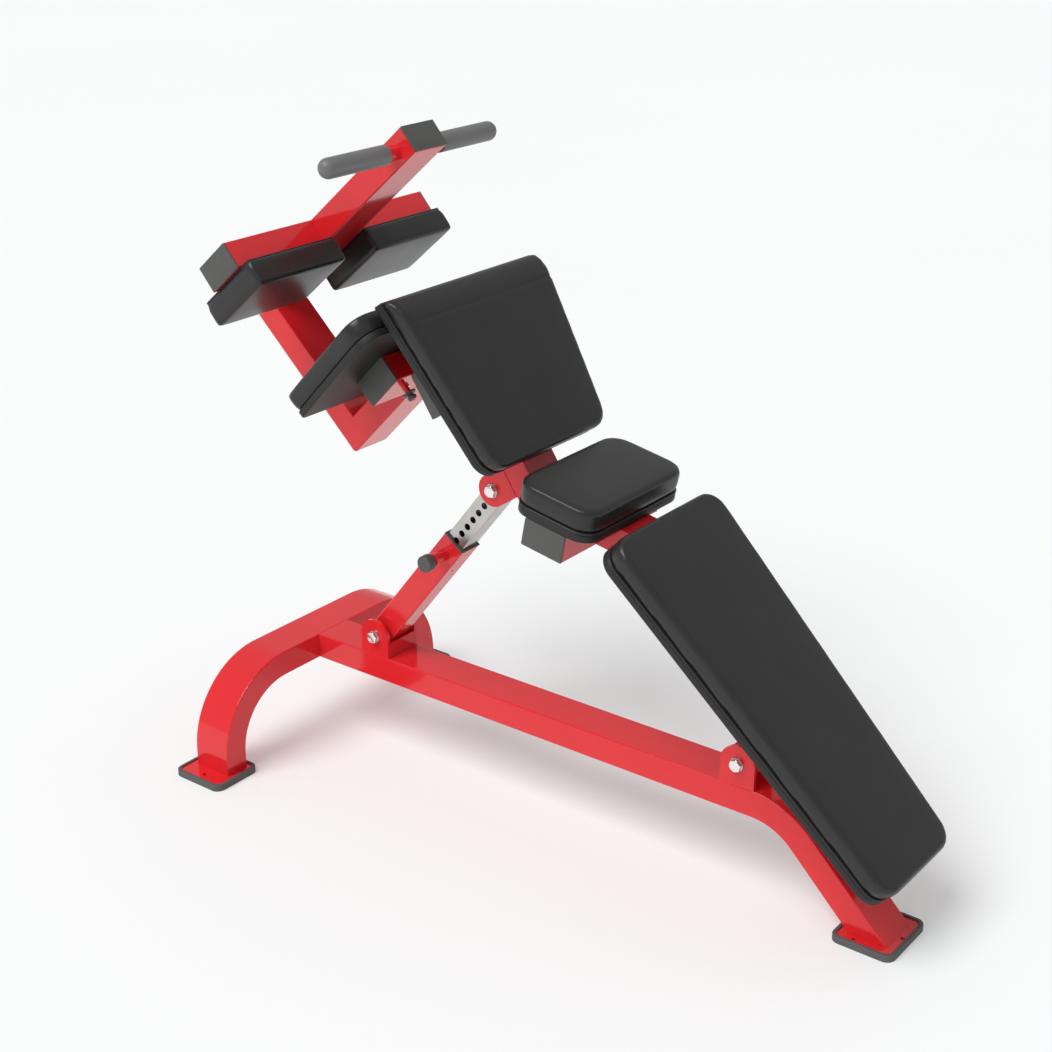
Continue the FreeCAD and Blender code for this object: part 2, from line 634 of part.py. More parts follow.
# Screws that hold the pads from behind the tubes: (frame, x, y, head face, depth, along z or x)
screws = []
STATIONS = [("lower", BACK_SCREWS[0], 0, 1103.5), ("lower", BACK_SCREWS[1], 0, 1103.5), ("mid", 649, -106, 825), ("mid", 649, 106, 825),
            ("upper", -518.7, -106, 940), ("upper", -518.7, 106, 940)]
for index, (frame, x, y, face) in enumerate(STATIONS):
    screw = new_body("pad_screw_%d" % index, frame)
    extrude(screw, "XY_Plane", [], face - 5, face, [(x, y, 7)])
    extrude(screw, "XY_Plane", [], face, face + DEPTH + 16, [(x, y, 3.95)])
    screws.append(screw)
for side in (-1, 1):
    screw = new_body("pad_screw_calf_%d" % (side + 1), "calf")
    extrude(screw, "YZ_Plane", [], ARM_U[1], ARM_U[1] + 5, [(side * 106, 951, 7)])
    extrude(screw, "YZ_Plane", [], ARM_U[0] - 12, ARM_U[1], [(side * 106, 951, 3.95)])
    screws.append(screw)
keep("pad_screws", *screws)

# ---------------------------------------------------------------- telescopic strut
# Local x runs up the strut from the rear pivot; local z is square to it in the XZ plane.
side_half = DIMS["strut_side"] / 2
bore_half = side_half - DIMS["strut_wall"]
mouth = DIMS["strut_mouth"]
pin_x = DIMS["pin_station"]

outer_tube = flat_part("strut_outer_tube", "strut", [
    (-31, -side_half, 29), (mouth, -side_half), (mouth, side_half), (-31, side_half, 29)],
    -side_half, side_half, [(0, 0, 8.1)], length="dims.strut_side")
soften(outer_tube, "tube_corner", lambda bound: bound.YLength < 0.01 and bound.DiagonalLength > 95)
extrude(outer_tube, "XZ_Plane", [[
    (-27, -bore_half, 25), (mouth, -bore_half), (mouth, bore_half), (-27, bore_half, 25)]],
    -bore_half, bore_half, cut=True, length="dims.strut_side - 2 * dims.strut_wall")
extrude(outer_tube, "XZ_Plane", [], -side_half - 1, -bore_half + 1, [(pin_x, 0, 6.3)], cut=True)
extrude(outer_tube, "XY_Plane", [], -side_half - 1, 1 - bore_half, [(275, 0, 3.05)], cut=True)
keep("strut_outer_tube", outer_tube)

bosses = []
for index, (low, high) in enumerate(((-41.7, -side_half), (side_half, 41.7))):
    bosses.append(flat_part("strut_boss_%d" % index, "strut", None, low, high, [(0, 0, 22), (0, 0, bore)]))
keep("strut_bosses", *bosses)

liner = flat_part("strut_mouth_liner", "strut", box(mouth, mouth + 4.5, -side_half, side_half), -side_half, side_half,
                  length="dims.strut_side")
extrude(liner, "XZ_Plane", [box(mouth - 1, mouth + 6, -25.3, 25.3)], -25.3, 25.3, cut=True)
keep("strut_mouth_liner", liner)

set_screw = new_body("strut_set_screw", "strut")
extrude(set_screw, "XY_Plane", [], -side_half - 1.5, -25.6, [(275, 0, 3)])
keep("strut_set_screw", set_screw)

pin_barrel = turned("pin_barrel", "strut", (pin_x, 0, 0), [
    (6.05, -30), (13.5, -30), (13.5, -62), (6.05, -62), (6.05, -59), (10, -59), (10, -34), (6.05, -34)])
keep("pin_barrel", pin_barrel)
lock_nut = turned("pin_lock_nut", "strut", (pin_x, 0, 0), [
    (6.05, -62), (15, -62, 1), (15, -70, 1), (6.05, -70)])
keep("pin_lock_nut", lock_nut)

# Sliding inner tube with its row of holes; its upper end turns on the upper pivot with clearance.
inner_half = DIMS["strut_inner_side"] / 2
inner_bore = inner_half - DIMS["strut_inner_wall"]
length = DIMS["strut_length"]
inner_start = 272.0
inner_tube = flat_part("strut_inner_tube", "strut", [
    (inner_start, -inner_half), (length + 25, -inner_half, 20), (length + 25, inner_half, 20),
    (inner_start, inner_half)], -inner_half, inner_half,
    [(pin_x + step * DIMS["strut_pitch"], 0, 7.75) for step in range(8)] + [(length, 0, 11.0)],
    length="dims.strut_inner_side")
soften(inner_tube, "tube_corner", lambda bound: bound.YLength < 0.01 and bound.DiagonalLength > 95, 0.8)
extrude(inner_tube, "XZ_Plane", [box(inner_start, length + 22, -inner_bore, inner_bore)],
        -inner_bore, inner_bore, cut=True, length="dims.strut_inner_side - 2 * dims.strut_inner_wall")
keep("strut_inner_tube", inner_tube)

# Spring-loaded pull pin.
pull_pin = turned("pull_pin", "strut", (pin_x, 0, 0), [
    (0, -25.5), (5.4, -25.5), (6, -26.2), (6, -34.3), (9.8, -34.3), (9.8, -38), (6, -38), (6, -86), (0, -86)])
keep("pull_pin", pull_pin)
knob = turned("pull_knob", "strut", (pin_x, 0, 0), [
    (6.05, -71), (9, -71, 1), (9, -78), (19, -78, 2.5), (19, -99, 3), (0, -99), (0, -86.1), (6.05, -86.1)])
keep("pull_knob", knob)

spring_x, spring_z = to_level("strut", pin_x, 0)
coil = doc.addObject("Part::Helix", "spring_path")
coil.Pitch = 4.0
coil.Height = 19.0
coil.Radius = 8.0
coil.SegmentLength = 0.5
wire = doc.addObject("Part::Circle", "spring_wire")
wire.Radius = 0.7
wire.Placement = FreeCAD.Placement(FreeCAD.Vector(8, 0, 0), FreeCAD.Rotation(FreeCAD.Vector(1, 0, 0), 90))
spring = doc.addObject("Part::Sweep", "pin_spring_sweep")
spring.Sections = [wire]
doc.recompute()
spring.Spine = (coil, ["Edge%d" % (index + 1) for index in range(len(coil.Shape.Edges))])
spring.Solid = True
spring.Frenet = True
spring.Placement = FreeCAD.Placement(
    FreeCAD.Vector(spring_x - DIMS["centre_shift"], -38.9, spring_z), FreeCAD.Rotation(FreeCAD.Vector(1, 0, 0), 90))
spring.setExpression(".Placement.Base.x", "%.4f - dims.centre_shift" % spring_x)
keep("pin_spring", spring)

# ---------------------------------------------------------------- checks and export
doc.recompute()
faults = []
for item in doc.Objects:
    if {"Invalid", "Error"} & set(item.State):
        faults.append("%s: %s" % (item.Name, item.State))
os.makedirs("parts", exist_ok=True)
for node, item in nodes.items():
    shape = item.Shape
    if shape.isNull() or not shape.isValid() or not shape.Solids:
        faults.append("%s has no valid solid" % node)
        continue
    if len(shape.Solids) != len(getattr(item, "Links", [item])):
        faults.append("%s has %d solids" % (node, len(shape.Solids)))
if faults:
    raise RuntimeError("; ".join(faults))
for node, item in nodes.items():
    item.Shape.exportStep("parts/%s.step" % node)
print("%d nodes written" % len(nodes))
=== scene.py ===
"""Looks of an adjustable decline bench: powder-coated frame, upholstered pads, zinc hardware and studio."""

import json
import logging
import math
from dataclasses import dataclass, field
from enum import Enum
from typing import Any

import bmesh
import bpy
import numpy as np
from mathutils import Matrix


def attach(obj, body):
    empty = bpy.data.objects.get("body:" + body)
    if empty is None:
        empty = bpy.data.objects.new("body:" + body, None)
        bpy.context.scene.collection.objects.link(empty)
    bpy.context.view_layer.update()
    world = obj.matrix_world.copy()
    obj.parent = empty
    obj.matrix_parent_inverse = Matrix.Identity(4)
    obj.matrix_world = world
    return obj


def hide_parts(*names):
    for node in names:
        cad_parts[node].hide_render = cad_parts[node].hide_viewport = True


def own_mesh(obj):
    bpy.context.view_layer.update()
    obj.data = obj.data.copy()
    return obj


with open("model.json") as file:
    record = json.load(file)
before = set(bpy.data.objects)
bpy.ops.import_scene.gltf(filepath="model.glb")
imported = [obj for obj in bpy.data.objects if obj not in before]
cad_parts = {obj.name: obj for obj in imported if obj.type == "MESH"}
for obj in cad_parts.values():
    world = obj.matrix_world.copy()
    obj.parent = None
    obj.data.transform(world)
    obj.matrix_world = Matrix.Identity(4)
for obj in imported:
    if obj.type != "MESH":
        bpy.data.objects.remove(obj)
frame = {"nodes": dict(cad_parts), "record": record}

log = logging.getLogger("bench")
# Level x, in millimetres, of the middle of the object's box.
ROW_SHIFT = 722.43
Array = np.ndarray


class Body(Enum):
    """Bodies of the frame that pieces ride on."""

    BASE = "base"
    BENCH = "bench"
    STRUT_LOWER = "strut_lower"
    STRUT_UPPER = "strut_upper"
    PIN = "pin"


class Slot(Enum):
    """Material slots named in the part's record."""

    RED = "red_powder_coat"
    FOOT = "foot_rubber"
    ZINC = "zinc_steel"
    PLASTIC = "grey_plastic"
    GRIP = "grip_rubber"
    VINYL = "black_vinyl"
    BOARD = "black_board"


class Facing(Enum):
    """Which local axis a plan's height grows along."""

    UP = "up"
    BACK = "back"
    FRONT = "front"
    LEFT = "left"
    RIGHT = "right"


# ---------------------------------------------------------------- shader desk
class Socket:
    """A node's output that can be used in Python expressions."""

    def __init__(self, desk: "Desk", link: Any) -> None:
        """Keeps the desk and the output socket."""
        self.desk = desk
        self.link = link

    def _math(self, operation: str, first: Any, second: Any) -> "Socket":
        """One Math node on two values."""
        return self.desk.node("ShaderNodeMath", {"operation": operation}, {0: first, 1: second})

    def __add__(self, other: Any) -> "Socket":
        """self + other."""
        return self._math("ADD", self, other)

    def __radd__(self, other: Any) -> "Socket":
        """other + self."""
        return self._math("ADD", other, self)

    def __sub__(self, other: Any) -> "Socket":
        """self - other."""
        return self._math("SUBTRACT", self, other)

    def __rsub__(self, other: Any) -> "Socket":
        """other - self."""
        return self._math("SUBTRACT", other, self)

    def __mul__(self, other: Any) -> "Socket":
        """self * other."""
        return self._math("MULTIPLY", self, other)

    def __rmul__(self, other: Any) -> "Socket":
        """other * self."""
        return self._math("MULTIPLY", other, self)


class Desk:
    """Builds the node tree of one material."""

    def __init__(self, name: str) -> None:
        """Starts a material with a Principled shader wired to its output.

        Args:
            name: the material's name.
        """
        self.material = bpy.data.materials.new(name)
        self.material.use_nodes = True
        self.tree = self.material.node_tree
        self.tree.nodes.clear()
        output = self.tree.nodes.new("ShaderNodeOutputMaterial")
        self.shader = self.tree.nodes.new("ShaderNodeBsdfPrincipled")
        self.tree.links.new(self.shader.outputs[0], output.inputs[0])
        self.place = self.node("ShaderNodeTexCoord", {}, {}, "Object")

    def _feed(self, target: Any, given: Any) -> None:
        """Links a socket or sets a plain value.

        Args:
            target: the input to feed.
            given: a Socket, or a value for the input itself.
        """
        if isinstance(given, Socket):
            self.tree.links.new(given.link, target)
        else:
            target.default_value = given

    def node(self, kind: str, settings: dict[str, Any], inputs: dict[Any, Any], out: Any = 0) -> Socket:
        """Adds one node.

        Args:
            kind: the node's type.
            settings: properties set first.
            inputs: values or sockets by input name or number.
            out: name or number of the output wanted.

        Returns:
            The output as a Socket.
        """
        made = self.tree.nodes.new(kind)
        for key, value in settings.items():
            setattr(made, key, value)
        for key, value in inputs.items():
            self._feed(made.inputs[key], value)
        return Socket(self, made.outputs[out])

    def noise(self, scale: float, detail: float = 3.0, place: Any = None) -> Socket:
        """Fractal noise from 0 to 1 at a scale in cells per metre."""
        return self.node("ShaderNodeTexNoise", {},
                         {"Vector": place or self.place, "Scale": scale, "Detail": detail})

    def cells(self, scale: float) -> Socket:
        """Distance to the nearest cell centre, in cells per metre."""
        return self.node("ShaderNodeTexVoronoi", {}, {"Vector": self.place, "Scale": scale}, "Distance")

    def stretched(self, scale: tuple[float, float, float]) -> Socket:
        """Object coordinates stretched along the axes."""
        return self.node("ShaderNodeMapping", {}, {"Vector": self.place, "Scale": scale})

    def blend(self, factor: Any, dark: tuple[float, ...], light: tuple[float, ...]) -> Socket:
        """Mixes two colours by a factor."""
        return self.node("ShaderNodeMix", {"data_type": "RGBA"},
                         {0: factor, 6: (*dark, 1.0), 7: (*light, 1.0)}, 2)

    def bump(self, height: Socket, strength: float, distance: float) -> Socket:
        """Turns a height into a normal; distance is in metres."""
        return self.node("ShaderNodeBump", {},
                         {"Height": height, "Strength": strength, "Distance": distance})

    def finish(self, varying: dict[str, Socket], constant: dict[str, Any]) -> Any:
        """Feeds the shader's sockets.

        Args:
            varying: sockets for inputs that change over the surface.
            constant: plain values set on the shader itself.

        Returns:
            The finished material.
        """
        for key, value in varying.items():
            self._feed(self.shader.inputs[key], value)
        for key, number in constant.items():
            self.shader.inputs[key].default_value = number
        return self.material


# ---------------------------------------------------------------- finishes
@dataclass(frozen=True)
class PowderCoat:
    """Glossy red powder coat with a fine orange peel."""

    deep: tuple[float, float, float] = (0.66, 0.016, 0.021)
    bright: tuple[float, float, float] = (0.74, 0.021, 0.028)

    def make(self) -> Any:
        """Builds the material.

        Returns:
            The material.
        """
        desk = Desk("powder_coat")
        cloud = desk.noise(5.0)
        peel = desk.noise(420.0, 2.0)
        return desk.finish(
            {"Base Color": desk.blend(cloud, self.deep, self.bright), "Roughness": cloud * 0.05 + 0.07,
             "Normal": desk.bump(peel, 0.03, 0.0002)},
            {"Coat Weight": 0.12, "Coat Roughness": 0.05, "Specular IOR Level": 0.42})


@dataclass(frozen=True)
class SatinVinyl:
    """Satin synthetic leather with a pebbled grain."""

    name: str = "satin_vinyl"
    dark: tuple[float, float, float] = (0.0175, 0.0175, 0.0170)
    light: tuple[float, float, float] = (0.0235, 0.0235, 0.0229)
    rough: float = 0.27
    grain: float = 0.07

    def make(self) -> Any:
        """Builds the material; the grain is cells with finer noise laid over them.

        Returns:
            The material.
        """
        desk = Desk(self.name)
        cloud = desk.noise(9.0)
        pebble = desk.cells(620.0) + desk.noise(1500.0, 2.0) * 0.4
        return desk.finish(
            {"Base Color": desk.blend(cloud, self.dark, self.light), "Roughness": cloud * 0.10 + self.rough,
             "Normal": desk.bump(pebble, self.grain, 0.00025)},
            {"Specular IOR Level": 0.36})


@dataclass(frozen=True)
class Moulded:
    """Moulded plastic or rubber with a stippled tool finish."""

    name: str
    dark: tuple[float, float, float]
    light: tuple[float, float, float]
    rough: float
    stipple: float
    strength: float

    def make(self) -> Any:
        """Builds the material; fine stipple over slow clouds.

        Returns:
            The material.
        """
        desk = Desk(self.name)
        cloud = desk.noise(14.0)
        stipple = desk.noise(self.stipple, 3.0)
        return desk.finish(
            {"Base Color": desk.blend(cloud * 0.7 + stipple * 0.3, self.dark, self.light),
             "Roughness": stipple * 0.12 + self.rough,
             "Normal": desk.bump(stipple, self.strength, 0.0002)}, {})


@dataclass(frozen=True)
class BrightZinc:
    """Bright zinc plate with faint drawn streaks."""

    name: str = "drawn_zinc"
    dark: tuple[float, float, float] = (0.47, 0.455, 0.44)
    light: tuple[float, float, float] = (0.60, 0.585, 0.565)

    def make(self) -> Any:
        """Builds the material; streaks are noise stretched along Y.

        Returns:
            The material.
        """
        desk = Desk(self.name)
        streak = desk.noise(1.0, 3.0, desk.stretched((420.0, 25.0, 420.0)))
        cloud = desk.noise(30.0)
        return desk.finish(
            {"Base Color": desk.blend(cloud, self.dark, self.light), "Roughness": streak * 0.14 + 0.18,
             "Normal": desk.bump(streak, 0.04, 0.0001)}, {"Metallic": 1.0})


class Finishes:
    """Every finish by record slot, and the brighter plate of the pivot bolts and nuts."""

    def __init__(self) -> None:
        """Makes one material for each slot, and one for the fixings."""
        self.by_slot: dict[Slot, Any] = {
            Slot.RED: PowderCoat().make(),
            Slot.FOOT: Moulded("foot_tray_rubber", (0.075, 0.074, 0.072), (0.105, 0.104, 0.10),
                               0.62, 900.0, 0.2).make(),
            Slot.ZINC: BrightZinc().make(),
            Slot.PLASTIC: Moulded("moulded_cap", (0.062, 0.062, 0.059), (0.084, 0.083, 0.079),
                                  0.42, 1300.0, 0.1).make(),
            Slot.GRIP: Moulded("grip_sleeve", (0.135, 0.133, 0.131), (0.168, 0.165, 0.163),
                               0.36, 1000.0, 0.08).make(),
            Slot.VINYL: SatinVinyl().make(),
            Slot.BOARD: SatinVinyl("wrapped_board", (0.013, 0.013, 0.0127), (0.018, 0.018, 0.0175),
                                   0.44, 0.06).make(),
        }
        self.fixings = BrightZinc("plated_fixings", (0.78, 0.78, 0.76), (0.90, 0.90, 0.88)).make()

    def dress_frame(self) -> int:
        """Gives each CAD node the finish of its slot.

        Returns:
            How many nodes were dressed.
        """
        dressed = 0
        for entry in frame["record"]["subparts"]:
            node = frame["nodes"][entry["node"]]
            finish = self.by_slot[Slot(entry["material_slot"])]
            if not node.material_slots:
                node.data.materials.append(finish)
            for holder in node.material_slots:
                holder.material = finish
            dressed += 1
        return dressed


# ---------------------------------------------------------------- places and plans
@dataclass(frozen=True)
class Slope:
    """A frame turned about Y: local x runs down the slope, local z stands square to it."""

    degrees: float
    base_x: float = 0.0
    base_z: float = 0.0

    def level(self, x: Any, z: Any) -> tuple[Any, Any]:
        """Turns local x and z about Y: X = base + x cos a + z sin a, Z = base - x sin a + z cos a.

        Args:
            x: local x in millimetres, a number or an array.
            z: local z in millimetres, in the same form.

        Returns:
            Level X and Z in millimetres.
        """
        turn = math.radians(self.degrees)
        return (self.base_x + x * math.cos(turn) + z * math.sin(turn),
                self.base_z - x * math.sin(turn) + z * math.cos(turn))

    def place(self, local: Array) -> Array:
        """Turns local millimetres into row metres.

        Args:
            local: points in the last axis.

        Returns:
            The same points in metres.
        """
        level_x, level_z = self.level(local[..., 0], local[..., 2])
        return np.stack([level_x - ROW_SHIFT, local[..., 1], level_z], axis=-1) / 1000.0


LEVEL = Slope(0.0)
UPPER = Slope(56.0)
MID = Slope(10.6)
LOWER = Slope(43.7)
CALF = Slope(44.0)
HANDLE = Slope(49.0, 86.0, 1240.0)
STRUT = Slope(-51.8066, 226.6, 296.2)


def turn_out(points: Array, facing: Facing, base: float) -> Array:
    """Lays (u, v, height) points into a local frame.

    Args:
        points: plan u, v and height in the last axis.
        facing: which way height grows.
        base: local coordinate where height is nought.

    Returns:
        Local x, y, z in the last axis.
    """
    u, v, height = points[..., 0], points[..., 1], points[..., 2]
    if facing is Facing.UP:
        return np.stack([u, v, base + height], axis=-1)
    if facing is Facing.BACK:
        return np.stack([base - height, u, v], axis=-1)
    if facing is Facing.FRONT:
        return np.stack([base + height, u, v], axis=-1)
    sign = 1.0 if facing is Facing.LEFT else -1.0
    return np.stack([u, sign * (base + height), v], axis=-1)


@dataclass(frozen=True)
class RoundedPlan:
    """A convex outline, anticlockwise, each corner (u, v, radius)."""

    corners: tuple[tuple[float, float, float], ...]
    arc_steps: int = 9
    edge_steps: int = 14

    def loop(self, inset: float) -> Array:
        """Outline moved in by inset: each edge shifts along its normal and arcs keep their centres.

        Args:
            inset: millimetres inwards.

        Returns:
            Points (count, 2).
        """
        data = np.array(self.corners, dtype=float)
        ahead = np.roll(data[:, :2], -1, axis=0) - data[:, :2]
        ahead /= np.linalg.norm(ahead, axis=1, keepdims=True)
        normal = np.stack([-ahead[:, 1], ahead[:, 0]], axis=1)
        before = np.roll(normal, 1, axis=0)
        radius = np.maximum(data[:, 2] - inset, 1.0)
        lean = (normal + before) / (1.0 + np.sum(normal * before, axis=1, keepdims=True))
        centre = data[:, :2] + (inset + radius)[:, None] * lean
        start = np.arctan2(-before[:, 1], -before[:, 0])
        sweep = np.mod(np.arctan2(-normal[:, 1], -normal[:, 0]) - start, 2 * math.pi)
        angle = start[:, None] + sweep[:, None] * np.linspace(0.0, 1.0, self.arc_steps)
        spoke = np.stack([np.cos(angle), np.sin(angle)], axis=-1)
        arcs = centre[:, None, :] + radius[:, None, None] * spoke
        share = np.linspace(0.0, 1.0, self.edge_steps + 2)[1:-1][None, :, None]
        edges = arcs[:, -1:, :] * (1 - share) + np.roll(arcs[:, :1, :], -1, axis=0) * share
        return np.concatenate([arcs, edges], axis=1).reshape(-1, 2)

    def rings(self, profile: Array) -> Array:
        """One ring for each (inset, height) row of a profile, as (rows, count, 3)."""
        return np.stack([np.column_stack([self.loop(inset), np.full(self.count(), height)])
                         for inset, height in profile])

    def count(self) -> int:
        """Points in one loop."""
        return len(self.corners) * (self.arc_steps + self.edge_steps)


def slab(plan: tuple[float, float, float, float], radius: float) -> RoundedPlan:
    """Rectangle plan from (low u, high u, low v, high v)."""
    u0, u1, v0, v1 = plan
    return RoundedPlan(((u0, v0, radius), (u1, v0, radius), (u1, v1, radius), (u0, v1, radius)))


def rounded_tier(low: float, high: float, radius: float, inset: float = 0.0, steps: int = 6) -> Array:
    """Side profile with quarter-round edges: inset and height follow sine and cosine of one angle.

    Args:
        low: height of the underside.
        high: height of the top.
        radius: edge radius.
        inset: how far the whole side stands in.
        steps: rows in each quarter round.

    Returns:
        Rows of (inset, height).
    """
    angle = np.linspace(0.0, math.pi / 2, steps)
    below = np.column_stack([inset + radius * (1 - np.sin(angle)), low + radius * (1 - np.cos(angle))])
    above = np.column_stack([inset + radius * (1 - np.cos(angle)), high - radius * (1 - np.sin(angle))])
    return np.concatenate([below, above])


# ---------------------------------------------------------------- meshes
@dataclass
class Shell:
    """Points, four-sided faces and end lids of one closed surface."""

    points: Array
    quads: Array
    lids: list[Array]

    def faces(self, start: int) -> list[list[int]]:
        """Every face, for a mesh in which this shell's points begin at start."""
        return [*(self.quads + start).tolist(), *[(lid + start).tolist() for lid in self.lids]]


def band(grid: Array, wrap: bool = False) -> Shell:
    """Closes a grid of rings into a shell: quads between rings, with a lid on each end or joined end to end.

    Args:
        grid: rings (rows, count, 3).
        wrap: joins the last ring to the first.

    Returns:
        The shell.
    """
    rows, count = grid.shape[:2]
    spans = rows if wrap else rows - 1
    row = np.arange(spans)[:, None]
    column = np.arange(count)[None, :]
    after = (row + 1) % rows
    beside = (column + 1) % count
    corners = [row * count + column, row * count + beside, after * count + beside, after * count + column]
    quads = np.stack(corners, axis=-1).reshape(-1, 4)
    lids = [] if wrap else [np.arange(count)[::-1], np.arange((rows - 1) * count, rows * count)]
    return Shell(grid.reshape(-1, 3), quads, lids)


def spun(profile: Array, centre: tuple[float, float], count: int = 72) -> Shell:
    """Surface of revolution about Y: x = cx + r cos t, z = cz + r sin t.

    Args:
        profile: rows of (y, radius) in millimetres.
        centre: level x and z of the axis.
        count: points around.

    Returns:
        The shell in row metres.
    """
    turn = np.linspace(0.0, 2 * math.pi, count, endpoint=False)[None, :]
    y, radius = profile[:, 0][:, None], profile[:, 1][:, None]
    local = np.stack([centre[0] + radius * np.cos(turn), y + 0 * turn,
                      centre[1] + radius * np.sin(turn)], axis=-1)
    return band(LEVEL.place(local))


def make_object(name: str, shells: list[Shell], sharp: float = 38.0) -> Any:
    """Joins shells into one object with merged poles and outward faces.

    Args:
        name: the object's name.
        shells: closed surfaces in metres.
        sharp: edges steeper than this many degrees stay crisp.

    Returns:
        The object, linked to the scene.
    """
    points = np.concatenate([shell.points for shell in shells])
    starts = np.cumsum([0] + [len(shell.points) for shell in shells[:-1]])
    faces = [face for shell, start in zip(shells, starts) for face in shell.faces(int(start))]
    mesh = bpy.data.meshes.new(name)
    mesh.from_pydata(points.tolist(), [], faces)
    shaper = bmesh.new()
    shaper.from_mesh(mesh)
    bmesh.ops.remove_doubles(shaper, verts=shaper.verts, dist=1e-6)
    bmesh.ops.recalc_face_normals(shaper, faces=shaper.faces)
    shaper.to_mesh(mesh)
    shaper.free()
    mesh.shade_smooth()
    mesh.set_sharp_from_angle(angle=math.radians(sharp))
    made = bpy.data.objects.new(name, mesh)
    bpy.context.scene.collection.objects.link(made)
    return made


def settle(made: Any, body: Body, slot: Slot, finishes: Finishes, *nodes: str,
           finish: Any = None) -> Any:
    """Dresses a piece in its slot's finish, stands it for CAD nodes and rides it on a body.

    Args:
        made: the object.
        body: the body it moves with.
        slot: its material slot.
        finishes: every finish.
        nodes: CAD nodes it stands for.
        finish: a finish of its own, where the slot's isn't used.

    Returns:
        The same object.
    """
    made.data.materials.clear()
    made.data.materials.append(finish or finishes.by_slot[slot])
    if nodes:
        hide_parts(*nodes)
    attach(made, body.value)
    log.info("%s: %d faces on %s", made.name, len(made.data.polygons), body.value)
    return made


def read_points(mesh: Any) -> Array:
    """Reads all vertex positions of a mesh.

    Args:
        mesh: the mesh.

    Returns:
        Positions (count, 3).
    """
    flat = np.empty(len(mesh.vertices) * 3)
    mesh.vertices.foreach_get("co", flat)
    return flat.reshape(-1, 3)


def write_points(mesh: Any, points: Array) -> None:
    """Writes vertex positions back to a mesh."""
    mesh.vertices.foreach_set("co", points.ravel())
    mesh.update()


def baked(made: Any) -> Any:
    """Works out an object's modifiers.

    Args:
        made: the object.

    Returns:
        The result as a new mesh.
    """
    view = bpy.context.evaluated_depsgraph_get()
    view.update()
    return bpy.data.meshes.new_from_object(made.evaluated_get(view))


def spread_evenly(mesh: Any, amount: Array, rounds: int) -> Array:
    """Evens a value over a mesh: each round takes the mean of a point and its neighbours along edges.

    Args:
        mesh: the mesh whose edges join neighbours.
        amount: one value for each vertex.
        rounds: how many times to average.

    Returns:
        The evened values.
    """
    ends = np.empty(len(mesh.edges) * 2, dtype=np.int32)
    mesh.edges.foreach_get("vertices", ends)
    first, second = ends.reshape(-1, 2).T
    size = len(amount)
    degree = 1.0 + np.bincount(first, minlength=size) + np.bincount(second, minlength=size)
    for _ in range(rounds):
        total = amount + np.bincount(first, amount[second], size) + np.bincount(second, amount[first], size)
        amount = total / degree
    return amount


# ---------------------------------------------------------------- upholstery
@dataclass(frozen=True)
class Foam:
    """How a cover is filled: cloth settings, and how far its movement is evened."""

    pressure: float = 4.0
    quality: int = 4
    frames: int = 20
    even_rounds: int = 40


